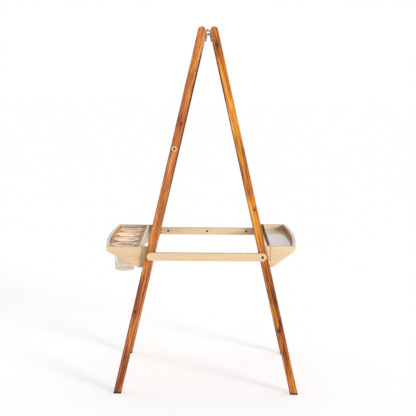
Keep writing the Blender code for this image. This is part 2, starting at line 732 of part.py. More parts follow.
def make_cup(index, place, root):
    x, y = place
    seat_z = CUP_PLATE_TOP + GAP
    lift = make_empty(f"paint_cup_lift_{index}", (x, y, seat_z), root)
    bm = bmesh.new()
    add_lathe(bm, cup_profile(), Matrix.Translation((x, y, seat_z)), CUP_SEGMENTS)
    finish_mesh(f"paint_cup_{index}", bm, lift, "clear_plastic")


# ---------------------------------------------------------------- assembly

def make_frame(side, pivot):
    for end_name in ENDS:
        make_leg(side, end_name, pivot)
        make_foot_pad(side, end_name, pivot)
        make_leaf(side, end_name, pivot)
        make_hinge_screws(side, end_name, pivot)
    make_panel(side, pivot)


def make_tray(tray, pivot):
    make_tray_ends(tray, pivot)
    make_brackets(tray, pivot)
    for end_name in ENDS:
        make_tray_screw(tray["side"], end_name, pivot)
    make_tray_back(tray, pivot)
    make_tray_front(tray, pivot)


def main():
    easel = make_empty("easel", (CENTRE_X, 0, 0))
    paint_pivot = make_empty("paint_frame_pivot", (0, 0, HINGE_Z), easel)
    make_frame(CHALK, easel)
    make_frame(PAINT, paint_pivot)
    make_tray(CHALK_TRAY, easel)
    make_tray(PAINT_TRAY, paint_pivot)
    make_tray_plate("chalk_tray_floor", CHALK_TRAY, CHALK_FLOOR_DROP, CHALK_FLOOR_THICK, easel, "laminate")
    make_cup_plate(paint_pivot)
    for end_name in ENDS:
        make_hinge_pin(end_name, easel)
        make_bar_bolt(end_name, easel)
        make_catch_peg(end_name, paint_pivot)
        make_side_knob(end_name, paint_pivot)
        make_knob_screw(end_name, paint_pivot)
        bar_pivot = make_empty(f"stretcher_pivot_{end_name}", (BAR_PIVOT_X, 0, BAR_Z), easel)
        make_bar(end_name, bar_pivot)
    for index, place in enumerate(cup_places(), start=1):
        make_cup(index, place, easel)


clear_scene()
MATERIAL = {name: make_material(name, *values) for name, values in MATERIALS.items()}
main()
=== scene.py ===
"""Looks of the double-sided wooden easel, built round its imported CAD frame.

Units are metres, +Z is up and +Y runs along the hinge.  The paint frame leans from -X, the chalk
frame from +X, and the camera looks along +Y at the front end.
"""

import itertools
import json
import math

import bmesh
import bpy
from mathutils import Matrix, Vector


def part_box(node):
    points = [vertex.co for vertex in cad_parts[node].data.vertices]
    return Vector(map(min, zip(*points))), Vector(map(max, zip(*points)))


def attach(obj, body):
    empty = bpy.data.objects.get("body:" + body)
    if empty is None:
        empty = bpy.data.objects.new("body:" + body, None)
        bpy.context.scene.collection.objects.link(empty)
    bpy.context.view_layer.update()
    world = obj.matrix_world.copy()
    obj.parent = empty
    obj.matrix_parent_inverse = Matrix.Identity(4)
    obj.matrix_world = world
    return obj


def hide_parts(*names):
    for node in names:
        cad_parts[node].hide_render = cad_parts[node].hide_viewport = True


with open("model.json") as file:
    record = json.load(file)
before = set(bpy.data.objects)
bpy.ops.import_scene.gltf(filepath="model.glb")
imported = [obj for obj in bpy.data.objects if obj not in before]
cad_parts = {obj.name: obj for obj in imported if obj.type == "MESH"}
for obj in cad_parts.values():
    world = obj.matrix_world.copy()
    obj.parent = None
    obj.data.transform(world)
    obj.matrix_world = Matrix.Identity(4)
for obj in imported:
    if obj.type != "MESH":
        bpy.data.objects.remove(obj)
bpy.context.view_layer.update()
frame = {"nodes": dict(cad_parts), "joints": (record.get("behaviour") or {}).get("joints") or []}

# Edge rounding
LEG_ROUND = 0.0025
RAIL_ROUND = 0.0015
BAR_ROUND = 0.0012
TRAY_ROUND = 0.0014
PLATE_ROUND = 0.0006
ROUND_STEPS = 3
ARC_STEPS = 14
TURNED_STEPS = 48
SMALL_TURNED_STEPS = 32
SHARP_ANGLE = math.radians(40)
CUT_OVER = 0.001

# Rails, boards and their grooves
GROOVE_DEEP = 0.008
GROOVE_WIDE = 0.0058

# Hinges
LEAF_THICK = 0.0026
KNUCKLES = 5
KNUCKLE_R = 0.0046
KNUCKLE_GAP = 0.0003
LEAF_CORNER_R = 0.004
HINGE_SCREW_R = 0.0034
HINGE_SCREW_HIGH = 0.0016
HINGE_SCREWS = (1, 2)
PIN_HEAD_HIGH = 0.0016
PIN_HEAD_EDGE = 0.0007
PIN_HEAD_DOME = 0.0002

# Stretcher bars
COUNTERBORE_R = 0.0046
COUNTERBORE_DEEP = 0.0045
BOLT_HEAD_R = 0.0042
BOLT_HEAD_HIGH = 0.003
BOLT_HEAD_EDGE = 0.0005
BOLT_SHANK_R = 0.003
HEX_R = 0.0022
HEX_DEEP = 0.002
WASHER_R = 0.008
WASHER_BORE_R = 0.0034
WASHER_THICK = 0.0009
WASHER_EDGE = 0.0003
SLOT_R = 0.0047
SLOT_DEEP = 0.008
SLOT_RUN = (0.0133, -0.0201)
SINK_SPACING = 0.145
SINK_R = 0.0041
SINK_DEEP = 0.003
SINK_SCREW_R = SINK_R - 0.0004
SINK_SCREW_HIGH = 0.0018
SINK_SCREW_BED = 0.0001

# Side knobs and trays
KNOB_HOLE_R = 0.0042
TRAY_SCREW_R = 0.0045
TRAY_SCREW_HIGH = 0.0026
TRAY_LIP_HIGH = 0.0148
TRAY_BOTTOM_FLAT = 0.0105
TRAY_FRONT_THICK = 0.011
TRAY_FRONT_STEPS = 28
BRACKET_GAP = 0.0003
PLATE_GAP = 0.0006
CUP_HOLE_GAP = 0.0008
CUP_HOLE_EASE = 0.0008
CUP_HOLE_OVER = 0.002

# Paint cups
CUPS = range(1, 5)
CUP_STEPS = 64
CUP_TOP_R = 0.036
CUP_FOOT_R = 0.032
CUP_WALL = 0.002
CUP_RIM_THICK = 0.0035
CUP_FOOT_HIGH = 0.0015
CUP_BASE_THICK = 0.004
CUP_FOOT_RING = 0.005
CUP_FOOT_ROUND = 0.002
CUP_LIP_ROUND = 0.001
CUP_FLOOR_ROUND = 0.003

# Camera and light
CAMERA_PLACE = Vector((0.0300, -4.358, 1.0769))
CAMERA_TURN = (math.radians(83.49), -0.007, 0.0027)
CAMERA_LENS = 109.4
KEY_TURN = (math.radians(75.5), 0.0, math.radians(38.0))
KEY_STRENGTH = 2.25
KEY_SPREAD = math.radians(16.0)
BACKDROP_STRENGTH = 1.0
ROOM_STRENGTH = 0.4
BACKDROP_FADE = (-0.2, 0.6)
FLOOR_GLOW = 0.50
FILL_PLACE = Vector((-0.2, -4.6, 1.1))
FILL_TURN = (math.radians(88.0), 0.0, math.radians(-2.0))
FILL_SIZE = 1.6
FILL_POWER = 32.0
FLOOR_HALF = 30.0

# Ends and sides of the easel, their bodies and the hinge
END = {"front": -1, "rear": 1}
SIDE = {"paint": -1, "chalk": 1}
PAINT_FRAME = "paint_frame"
CHALK_FRAME = "chalk_frame"
BODY = {"paint": PAINT_FRAME, "chalk": CHALK_FRAME}
JOINT = {joint["name"]: joint for joint in frame["joints"]}
HINGE = Vector(JOINT["frame_fold"]["pos_m"])

seeds = itertools.count(1)


# ---------------------------------------------------------------- places, read from the frame

def lean_of(node):
    """How far a leaning board is from upright, from its largest face."""
    largest = max(frame["nodes"][node].data.polygons, key=lambda face: face.area)
    return math.atan2(abs(largest.normal.z), abs(largest.normal.x))


LEAN = lean_of("chalk_board")


def panel_axes(side):
    """Matrix from a leaning frame's own axes (out, along, up), from the hinge, to the row frame."""
    sign = SIDE[side]
    out = Vector((sign * math.cos(LEAN), 0, math.sin(LEAN)))
    along = Vector((0, sign, 0))
    up = Vector((-sign * math.sin(LEAN), 0, math.cos(LEAN)))
    turn = Matrix((out, along, up)).transposed().to_4x4()
    return Matrix.Translation(HINGE) @ turn


PANEL = {side: panel_axes(side) for side in SIDE}


def panel_box(node, side):
    """Lowest and highest corner of a node in its leaning frame's own axes."""
    back = PANEL[side].inverted()
    spots = [back @ vertex.co for vertex in frame["nodes"][node].data.vertices]
    low = Vector(min(spot[axis] for spot in spots) for axis in range(3))
    high = Vector(max(spot[axis] for spot in spots) for axis in range(3))
    return low, high


def up_at_height(out, z):
    """How far up a leaning frame a height above the floor lies."""
    return (z - HINGE.z - out * math.sin(LEAN)) / math.cos(LEAN)


def outward(side, low, high):
    """The two X values of a box on one side of the easel, the one nearer the hinge first."""
    return (low.x, high.x) if SIDE[side] > 0 else (high.x, low.x)


def with_grain(origin, grain, face):
    """Matrix at an origin with local Z along the grain and local X out of the broad face."""
    z_axis = Vector(grain).normalized()
    x_axis = Vector(face)
    x_axis = (x_axis - z_axis * x_axis.dot(z_axis)).normalized()
    y_axis = z_axis.cross(x_axis)
    return Matrix.Translation(origin) @ Matrix((x_axis, y_axis, z_axis)).transposed().to_4x4()


# ---------------------------------------------------------------- mesh helpers

def arc(centre, radius, start, end, steps=ARC_STEPS):
    """Points of an arc in a plane, angles in degrees."""
    points = []
    for step in range(steps + 1):
        angle = math.radians(start + (end - start) * step / steps)
        points.append((centre[0] + radius * math.cos(angle), centre[1] + radius * math.sin(angle)))
    return points


def swept(corners, sweep):
    """A solid from a flat loop of corners moved along a vector."""
    bm = bmesh.new()
    base = bm.faces.new([bm.verts.new(corner) for corner in corners])
    grown = bmesh.ops.extrude_face_region(bm, geom=[base])
    moved = [item for item in grown["geom"] if isinstance(item, bmesh.types.BMVert)]
    bmesh.ops.translate(bm, verts=moved, vec=sweep)
    return bm


def side_prism(outline, y_low, y_high):
    """A solid from an outline of (x, z) points between two values of Y."""
    return swept([(x, y_low, z) for x, z in outline], (0, y_high - y_low, 0))


def box_solid(low, high):
    outline = ((low.x, low.z), (high.x, low.z), (high.x, high.z), (low.x, high.z))
    return side_prism(outline, low.y, high.y)


def turned(profile, steps=TURNED_STEPS):
    """A solid turned about Z from (radius, height) points, closed on the axis or run as a ring."""
    bm = bmesh.new()
    on_axis = profile[0][0] == 0
    rings = []
    for radius, height in profile[1:-1] if on_axis else profile:
        spots = arc((0, 0), radius, 0, 360 - 360 / steps, steps - 1)
        rings.append([bm.verts.new((x, y, height)) for x, y in spots])
    pairs = list(zip(rings, rings[1:]))
    if not on_axis:
        pairs.append((rings[-1], rings[0]))
    for low, high in pairs:
        for step in range(steps):
            after = (step + 1) % steps
            bm.faces.new((low[step], low[after], high[after], high[step]))
    if on_axis:
        bm.faces.new(rings[0])
        bm.faces.new(rings[-1])
    return bm


def joined(*parts):
    """One mesh from several."""
    whole = bmesh.new()
    for part in parts:
        mesh = bpy.data.meshes.new("part")
        part.to_mesh(mesh)
        part.free()
        whole.from_mesh(mesh)
        bpy.data.meshes.remove(mesh)
    return whole


def moved_to(bm, matrix):
    bm.transform(matrix)
    return bm


def standing(place, direction):
    """Matrix that stands local Z at a place along a direction."""
    turn = Vector(direction).to_track_quat("Z", "Y").to_matrix().to_4x4()
    return Matrix.Translation(place) @ turn


def new_object(name, bm, axes=Matrix.Identity(4)):
    """A named object whose mesh, given in the row frame, is kept in the object's own axes."""
    bmesh.ops.recalc_face_normals(bm, faces=bm.faces)
    bm.transform(axes.inverted())
    mesh = bpy.data.meshes.new(name)
    bm.to_mesh(mesh)
    bm.free()
    obj = bpy.data.objects.new(name, mesh)
    bpy.context.scene.collection.objects.link(obj)
    obj.matrix_world = axes
    return obj


def shape(name, bm, axes=Matrix.Identity(4), bevel=0.0, cuts=()):
    """Rounds an object's edges, cuts it with other meshes and evens out its shading."""
    obj = new_object(name, bm, axes)
    obj.data.shade_smooth()
    if bevel:
        rounding = obj.modifiers.new("rounding", "BEVEL")
        rounding.width = bevel
        rounding.segments = ROUND_STEPS
        rounding.limit_method = "ANGLE"
        rounding.angle_limit = SHARP_ANGLE
    tools = [new_object(f"{name}_cut", tool) for tool in cuts]
    for tool in tools:
        boolean = obj.modifiers.new("cut", "BOOLEAN")
        boolean.object = tool
        boolean.solver = "EXACT"
    bpy.context.view_layer.update()
    seen = obj.evaluated_get(bpy.context.evaluated_depsgraph_get())
    obj.data = bpy.data.meshes.new_from_object(seen)
    obj.data.name = name
    obj.modifiers.clear()
    obj.data.set_sharp_from_angle(angle=SHARP_ANGLE)
    even = obj.modifiers.new("even", "WEIGHTED_NORMAL")
    even.keep_sharp = True
    for tool in tools:
        bpy.data.objects.remove(tool)
    return obj


def finish_piece(obj, materials, body, slot, *nodes):
    """Gives a piece its materials, the body it rides on and the CAD nodes it shows; the slot is not
    used.
    """
    obj.data.materials.clear()
    for material in materials:
        obj.data.materials.append(material)
    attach(obj, body)
    if nodes:
        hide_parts(*nodes)


def paint_faces(obj, index, wanted):
    """Gives the faces that a test picks another material slot."""
    for face in obj.data.polygons:
        if wanted(face):
            face.material_index = index


# ---------------------------------------------------------------- material helpers

class Graph:
    """Adds nodes to one material; each call returns an output socket."""

    def __init__(self, name):
        self.material = bpy.data.materials.new(name)
        self.material.use_nodes = True
        self.nodes = self.material.node_tree.nodes
        self.shader = self.nodes["Principled BSDF"]
        coordinates = self.nodes.new("ShaderNodeTexCoord")
        self.place = coordinates.outputs["Object"]
        self.facing = coordinates.outputs["Normal"]

    def put(self, socket, value):
        if isinstance(value, bpy.types.NodeSocket):
            self.material.node_tree.links.new(value, socket)
        else:
            socket.default_value = value

    def calc(self, operation, *values):
        node = self.nodes.new("ShaderNodeMath")
        node.operation = operation
        for socket, value in zip(node.inputs, values):
            self.put(socket, value)
        return node.outputs[0]

    def weigh(self, value, middle, weight):
        """(value - middle) * weight, for adding up variations round nought."""
        return self.calc("MULTIPLY", self.calc("SUBTRACT", value, middle), weight)

    def total(self, first, *others):
        for other in others:
            first = self.calc("ADD", first, other)
        return first

    def smooth(self, value, low, high):
        """0 below low, 1 above high, smooth between."""
        node = self.nodes.new("ShaderNodeMapRange")
        node.interpolation_type = "SMOOTHSTEP"
        self.put(node.inputs["Value"], value)
        node.inputs["From Min"].default_value = low
        node.inputs["From Max"].default_value = high
        return node.outputs["Result"]

    def mix(self, share, first, second):
        node = self.nodes.new("ShaderNodeMix")
        node.data_type = "RGBA"
        self.put(node.inputs[0], share)
        self.put(node.inputs[6], first)
        self.put(node.inputs[7], second)
        return node.outputs[2]

    def ramp(self, value, stops):
        node = self.nodes.new("ShaderNodeValToRGB")
        elements = node.color_ramp.elements
        while len(elements) < len(stops):
            elements.new(0.5)
        for element, (position, colour) in zip(elements, stops):
            element.position = position
            element.color = (*colour, 1.0)
        self.put(node.inputs["Fac"], value)
        return node.outputs["Color"]

    def curve(self, value, stops):
        """A number that follows (position, value) stops with straight runs between them."""
        return self.ramp(value, [(position, (level,) * 3) for position, level in stops])

    def scaled(self, place, scale, shift=(0.0, 0.0, 0.0)):
        node = self.nodes.new("ShaderNodeMapping")
        self.put(node.inputs["Vector"], place)
        node.inputs["Scale"].default_value = scale
        node.inputs["Location"].default_value = shift
        return node.outputs["Vector"]

    def noise(self, place, detail=2.0, roughness=0.5):
        node = self.nodes.new("ShaderNodeTexNoise")
        self.put(node.inputs["Vector"], place)
        node.inputs["Scale"].default_value = 1.0
        node.inputs["Detail"].default_value = detail
        node.inputs["Roughness"].default_value = roughness
        return node.outputs["Fac"]

    def parts(self, vector):
        node = self.nodes.new("ShaderNodeSeparateXYZ")
        self.put(node.inputs["Vector"], vector)
        return node.outputs

    def vector(self, x, y, z):
        node = self.nodes.new("ShaderNodeCombineXYZ")
        for socket, value in zip(node.inputs, (x, y, z)):
            self.put(socket, value)
        return node.outputs[0]

    def length(self, vector):
        node = self.nodes.new("ShaderNodeVectorMath")
        node.operation = "LENGTH"
        self.put(node.inputs[0], vector)
        return node.outputs["Value"]

    def colour(self, value):
        self.put(self.shader.inputs["Base Color"], value)

    def rough(self, value):
        self.put(self.shader.inputs["Roughness"], value)

    def bump(self, height, deep):
        node = self.nodes.new("ShaderNodeBump")
        node.inputs["Distance"].default_value = deep
        self.put(node.inputs["Height"], height)
        self.put(self.shader.inputs["Normal"], node.outputs["Normal"])

    def pass_light(self):
        """Lets lamps shine through clear material instead of casting a solid shadow."""
        links = self.material.node_tree.links
        rays = self.nodes.new("ShaderNodeLightPath")
        open_air = self.nodes.new("ShaderNodeBsdfTransparent")
        either = self.nodes.new("ShaderNodeMixShader")
        links.new(rays.outputs["Is Shadow Ray"], either.inputs[0])
        links.new(self.shader.outputs[0], either.inputs[1])
        links.new(open_air.outputs[0], either.inputs[2])
        links.new(either.outputs[0], self.nodes["Material Output"].inputs["Surface"])

    def fixed(self, **values):
        """Sets shader values that are the same all over, such as coat_weight=0.2."""
        for name, value in values.items():
            label = name.replace("_", " ").title().replace("Ior", "IOR")
            self.shader.inputs[label].default_value = value


# Noise scales in the wood, in waves to the metre across, across and along the grain.
SWAY_SCALE = (3.0, 3.0, 1.6)
SWING_SCALE = (4.0, 4.0, 2.3)
WAVER_SCALE = (160.0, 160.0, 7.0)
BROAD_SCALE = (45.0, 45.0, 4.5)
STREAK_SCALE = (170.0, 170.0, 9.0)
FIBRE_SCALE = (600.0, 600.0, 45.0)
PORE_SCALE = (1500.0, 1500.0, 90.0)
HEART_WANDER = 0.035
# A knot is longer along the grain, bends the rings round it and is darkest at its core.
KNOT_LONG = 1.5
KNOT_SPREAD = 1.8
KNOT_BEND = 0.9
KNOT_CORE = 0.35
KNOT_DARK = 0.34
KNOT_HALO = 0.12
END_GRAIN_DARK = 0.16
WOOD_RELIEF = 0.00025


def next_shift():
    """A different place in the noise for each piece."""
    seed = next(seeds)
    return (seed * 3.17, seed * 5.71, seed * 7.43)


def knot_nearness(g, across, height, size):
    """Distance from a knot that runs through the board along local Y, and a bell shape round it."""
    shrink = (1.0, 0.0, 1.0 / KNOT_LONG)
    away = g.length(g.scaled(g.place, shrink, (-across, 0.0, -height / KNOT_LONG)))
    spread = g.calc("POWER", g.calc("DIVIDE", away, size * KNOT_SPREAD), 2.0)
    return away, g.calc("EXPONENT", g.calc("MULTIPLY", spread, -1.0))


def heart_distance(g, pith, shift):
    """Distance from the heart of the tree, which wanders along the grain."""
    x, y, _ = g.parts(g.place)
    sway = g.noise(g.scaled(g.place, SWAY_SCALE, shift), 1.0)
    swing = g.noise(g.scaled(g.place, SWING_SCALE, shift[::-1]), 1.0)
    off_x = g.total(x, pith[0], g.weigh(sway, 0.5, HEART_WANDER))
    off_y = g.total(y, pith[1], g.weigh(swing, 0.5, HEART_WANDER))
    return g.length(g.vector(off_x, off_y, 0.0))


def wood(name, tones, ring, contrast, gloss, pith=(0.06, 0.03), lift=0.0, profile=None,
         length=1.0, knots=()):
    """Wood with its grain along local Z.

    tones are ramp stops from dark to pale, ring is the width of a growth ring, contrast scales the
    streaks, pith is how far off the heart of the tree lies, lift makes it paler, profile gives
    the tone at shares of the piece's length and each knot is (across, height, radius).
    """
    g = Graph(name)
    shift = next_shift()
    radius = heart_distance(g, pith, shift)
    dark_knots = 0.0
    for across, height, size in knots:
        away, near = knot_nearness(g, across, height, size)
        radius = g.total(radius, g.calc("MULTIPLY", near, size * KNOT_BEND))
        core = g.calc("MULTIPLY", g.smooth(away, size, size * KNOT_CORE), KNOT_DARK)
        dark_knots = g.total(dark_knots, core, g.calc("MULTIPLY", near, KNOT_HALO))
    waver = g.noise(g.scaled(g.place, WAVER_SCALE, shift), 2.0)
    turns = g.total(g.calc("DIVIDE", radius, ring), g.weigh(waver, 0.5, 1.1))
    ring_line = g.calc("POWER", g.calc("PINGPONG", turns, 0.5), 2.0)
    broad = g.noise(g.scaled(g.place, BROAD_SCALE, shift), 2.0)
    streak = g.noise(g.scaled(g.place, STREAK_SCALE, shift), 3.0, 0.6)
    fibre = g.noise(g.scaled(g.place, FIBRE_SCALE, shift), 3.0, 0.6)
    pore = g.smooth(g.noise(g.scaled(g.place, PORE_SCALE, shift), 1.0), 0.60, 0.72)
    if profile is None:
        base = 0.5 + lift
    else:
        base = g.curve(g.calc("DIVIDE", g.parts(g.place)[2], length), profile)
    end_grain = g.smooth(g.calc("ABSOLUTE", g.parts(g.facing)[2]), 0.6, 0.9)
    tone = g.total(
        base,
        g.weigh(broad, 0.5, 1.1 * contrast),
        g.weigh(streak, 0.5, 1.5 * contrast),
        g.weigh(ring_line, 0.09, -0.9 * contrast),
        g.weigh(fibre, 0.5, 0.75 * contrast),
        g.calc("MULTIPLY", pore, -0.20 * contrast),
        g.calc("MULTIPLY", end_grain, -END_GRAIN_DARK),
    )
    if knots:
        tone = g.calc("SUBTRACT", tone, dark_knots)
    g.colour(g.ramp(tone, tones))
    g.rough(g.total(0.42, g.weigh(fibre, 0.5, 0.25), g.calc("MULTIPLY", pore, 0.15)))
    relief = g.total(
        g.calc("MULTIPLY", fibre, 0.5),
        g.calc("MULTIPLY", pore, -0.6),
        g.calc("MULTIPLY", ring_line, 0.6),
    )
    g.bump(relief, WOOD_RELIEF)
    g.fixed(specular_ior_level=gloss)
    return g.material


# Ramp stops from the darkest grain to the palest wood.
GOLDEN_TONES = (
    (0.00, (0.060, 0.014, 0.005)),
    (0.22, (0.190, 0.046, 0.010)),
    (0.42, (0.370, 0.102, 0.015)),
    (0.60, (0.500, 0.172, 0.019)),
    (0.80, (0.620, 0.265, 0.028)),
    (1.00, (0.700, 0.360, 0.070)),
)
RUSSET_TONES = (
    (0.00, (0.070, 0.016, 0.008)),
    (0.22, (0.200, 0.050, 0.016)),
    (0.42, (0.350, 0.094, 0.025)),
    (0.60, (0.470, 0.152, 0.034)),
    (0.80, (0.590, 0.240, 0.060)),
    (1.00, (0.680, 0.340, 0.110)),
)
PALE_TONES = (
    (0.00, (0.300, 0.165, 0.074)),
    (0.30, (0.500, 0.340, 0.185)),
    (0.55, (0.610, 0.450, 0.272)),
    (1.00, (0.730, 0.600, 0.430)),
)
SHELF_AND_SHADE_TONES = (
    (0.00, (0.360, 0.130, 0.040)),
    (0.50, (0.720, 0.370, 0.130)),
    (1.00, (0.840, 0.540, 0.240)),
)


def golden_acacia(name, **options):
    return wood(name, GOLDEN_TONES, 0.0065, 1.0, 0.2, **options)


def russet_acacia(name, **options):
    return wood(name, RUSSET_TONES, 0.0065, 1.0, 0.2, **options)


def pale_wood(name, **options):
    return wood(name, PALE_TONES, 0.0042, 0.28, 0.4, **options)


def shelf_and_shade_wood(name):
    """Varnished red-brown wood of the cup plate; on the trays' inner faces the same red-brown is
    painted shade.
    """
    return wood(name, SHELF_AND_SHADE_TONES, 0.0050, 0.5, 0.15)


ACACIA = {"paint": russet_acacia, "chalk": golden_acacia}


def rim_sheen_material():
    """Off-white top faces of the tray walls: painted reflection of the bright surroundings seen at
    a grazing angle, with a faint print of grain.
    """
    g = Graph("painted_rim_sheen")
    grain = g.noise(g.scaled(g.place, (700.0, 40.0, 40.0)), 2.0)
    g.colour(g.ramp(grain, ((0.3, (0.640, 0.575, 0.510)), (0.7, (0.740, 0.680, 0.620)))))
    g.rough(g.total(0.30, g.weigh(grain, 0.5, 0.2)))
    g.bump(grain, 0.0001)
    return g.material


def laminate_sheen_material():
    """Glossy pinkish-grey tray floor with faint clouding and wipe marks; its grey cast is partly
    the floor's own colour and partly painted reflection of the bright surroundings.
    """
    g = Graph("tray_laminate")
    cloud = g.noise(g.scaled(g.place, (14.0, 14.0, 14.0)), 3.0)
    wipe = g.noise(g.scaled(g.place, (160.0, 9.0, 9.0)), 2.0)
    g.colour(g.ramp(cloud, ((0.3, (0.560, 0.470, 0.420)), (0.7, (0.620, 0.530, 0.480)))))
    g.rough(g.total(0.10, g.weigh(wipe, 0.5, 0.10)))
    g.bump(wipe, 0.00003)
    return g.material


def hardboard_material():
    """Brown pressed-fibre board with the fine mesh print of its back."""
    g = Graph("hardboard")
    fleck = g.noise(g.scaled(g.place, (700.0, 700.0, 700.0)), 3.0, 0.7)
    cloud = g.noise(g.scaled(g.place, (12.0, 12.0, 12.0)), 2.0)
    tone = g.total(g.calc("MULTIPLY", fleck, 0.6), g.calc("MULTIPLY", cloud, 0.4))
    g.colour(g.ramp(tone, ((0.30, (0.130, 0.052, 0.024)), (0.70, (0.270, 0.130, 0.065)))))
    g.rough(g.total(0.62, g.weigh(fleck, 0.5, 0.2)))
    _, y, z = g.parts(g.scaled(g.place, (2400.0, 2400.0, 2400.0)))
    weave = g.calc("MULTIPLY", g.calc("SINE", y), g.calc("SINE", z))
    g.bump(g.total(weave, fleck), 0.00015)
    g.fixed(specular_ior_level=0.05)
    return g.material


def whiteboard_material():
    """Gloss white writing face with the faintest ghost of wiped marks."""
    g = Graph("whiteboard_face")
    smear = g.noise(g.scaled(g.place, (9.0, 5.0, 22.0)), 4.0, 0.6)
    haze = g.smooth(smear, 0.5, 0.8)
    g.colour(g.mix(haze, (0.860, 0.860, 0.850, 1.0), (0.740, 0.750, 0.770, 1.0)))
    g.rough(g.total(0.14, g.calc("MULTIPLY", haze, 0.22)))
    g.bump(smear, 0.00002)
    return g.material


def chalkboard_material():
    """Matt dark slate-green face with clouds of wiped chalk dust."""
    g = Graph("chalkboard_face")
    cloud = g.noise(g.scaled(g.place, (6.0, 4.0, 9.0)), 5.0, 0.6)
    grit = g.noise(g.scaled(g.place, (1300.0, 1300.0, 1300.0)), 2.0)
    dust = g.calc("MULTIPLY", g.smooth(cloud, 0.42, 0.75), g.smooth(grit, 0.25, 0.75))
    slate, chalk = (0.030, 0.042, 0.038, 1.0), (0.420, 0.430, 0.420, 1.0)
    g.colour(g.mix(g.calc("MULTIPLY", dust, 0.30), slate, chalk))
    g.rough(g.total(0.78, g.weigh(grit, 0.5, 0.2)))
    g.bump(grit, 0.00012)
    return g.material


def steel_material():
    """Zinc-plated steel with a fine drawn finish and cloudy plating."""
    g = Graph("zinc_steel")
    drawn = g.noise(g.scaled(g.place, (300.0, 4200.0, 300.0)), 2.0)
    cloud = g.noise(g.scaled(g.place, (140.0, 140.0, 140.0)), 3.0)
    g.colour(g.ramp(cloud, ((0.3, (0.260, 0.245, 0.230)), (0.7, (0.440, 0.420, 0.395)))))
    g.rough(g.total(0.30, g.weigh(drawn, 0.5, 0.2), g.weigh(cloud, 0.5, 0.2)))
    g.bump(drawn, 0.00004)
    g.fixed(metallic=1.0)
    return g.material


def bronze_material():
    """Dark bronzed screws, rubbed lighter in places."""
    g = Graph("dark_bronze")
    rub = g.noise(g.scaled(g.place, (500.0, 500.0, 500.0)), 3.0)
    g.colour(g.ramp(rub, ((0.35, (0.075, 0.042, 0.028)), (0.75, (0.210, 0.130, 0.085)))))
    g.rough(g.total(0.36, g.weigh(rub, 0.5, 0.3)))
    g.bump(rub, 0.00004)
    g.fixed(metallic=0.85)
    return g.material


def pad_material():
    """Dark brown rubbery felt under the feet."""
    g = Graph("foot_pad")
    fuzz = g.noise(g.scaled(g.place, (1600.0, 1600.0, 1600.0)), 3.0, 0.7)
    g.colour(g.ramp(fuzz, ((0.3, (0.022, 0.009, 0.006)), (0.7, (0.075, 0.032, 0.020)))))
    g.rough(g.total(0.85, g.weigh(fuzz, 0.5, 0.2)))
    g.bump(fuzz, 0.0004)
    return g.material


def clear_plastic_material():
    """Clear moulded plastic with faint flow marks."""
    g = Graph("clear_plastic")
    flow = g.noise(g.scaled(g.place, (60.0, 60.0, 14.0)), 2.0)
    g.colour(g.ramp(flow, ((0.3, (0.930, 0.860, 0.765)), (0.7, (0.960, 0.915, 0.850)))))
    g.rough(g.total(0.05, g.calc("MULTIPLY", flow, 0.05)))
    g.bump(flow, 0.0002)
    g.fixed(transmission_weight=0.82, ior=1.3)
    g.pass_light()
    return g.material


def floor_material():
    """Plain pale studio floor."""
    g = Graph("studio_floor")
    mottle = g.noise(g.scaled(g.place, (2.0, 2.0, 2.0)), 2.0)
    g.colour(g.ramp(mottle, ((0.3, (0.610, 0.610, 0.610)), (0.7, (0.620, 0.620, 0.620)))))
    g.rough(0.8)
    g.fixed(emission_color=(1.0, 1.0, 1.0, 1.0), emission_strength=FLOOR_GLOW)
    g.fixed(specular_ior_level=0.0)
    return g.material


RIM_SHEEN = rim_sheen_material()
LAMINATE_SHEEN = laminate_sheen_material()
HARDBOARD = hardboard_material()
WHITEBOARD = whiteboard_material()
CHALKBOARD = chalkboard_material()
STEEL = steel_material()
BRONZE = bronze_material()
PAD = pad_material()
CLEAR = clear_plastic_material()


# ---------------------------------------------------------------- legs, feet, rails and boards

# Tone along each leg, from the foot up: 0 is the darkest wood and 1 the palest.
LEG_PROFILE = {
    "paint_front": (
        (0.035, 0.27), (0.07, 0.25), (0.13, 0.36), (0.18, 0.36), (0.25, 0.42), (0.30, 0.44),
        (0.33, 0.58), (0.49, 0.46), (0.525, 0.38), (0.59, 0.52), (0.69, 0.60), (0.74, 0.56),
        (0.79, 0.66), (0.82, 0.74), (0.85, 0.68), (0.90, 0.72), (0.95, 0.74),
    ),
    "chalk_front": (
        (0.035, 0.42), (0.135, 0.41), (0.165, 0.44), (0.20, 0.42), (0.23, 0.48), (0.265, 0.28),
        (0.30, 0.40), (0.33, 0.42), (0.49, 0.70), (0.525, 0.68), (0.56, 0.40), (0.59, 0.50),
        (0.64, 0.54), (0.72, 0.62), (0.755, 0.54), (0.79, 0.68), (0.82, 0.54), (0.87, 0.64),
        (0.935, 0.50),
    ),
    # The paint side's rear leg is painted far paler than the others: painted light over the shade
    # it sits in.
    "paint_rear": ((0.0, 0.72), (0.3, 0.84), (0.55, 0.92), (0.8, 1.00), (0.97, 0.95)),
    "chalk_rear": ((0.0, 0.44), (0.25, 0.40), (0.5, 0.56), (0.75, 0.48), (0.97, 0.52)),
}
# Knots in each leg: across from the leg's middle, height up the leg, radius.
LEG_KNOTS = {
    "paint_front": ((-0.004, 0.905, 0.0035), (0.003, 0.275, 0.0045)),
    "chalk_front": ((-0.003, 0.215, 0.0065), (0.002, 0.620, 0.0045), (0.001, 1.160, 0.0040)),
    "paint_rear": ((0.002, 0.530, 0.0050),),
    "chalk_rear": ((-0.002, 0.760, 0.0050),),
}


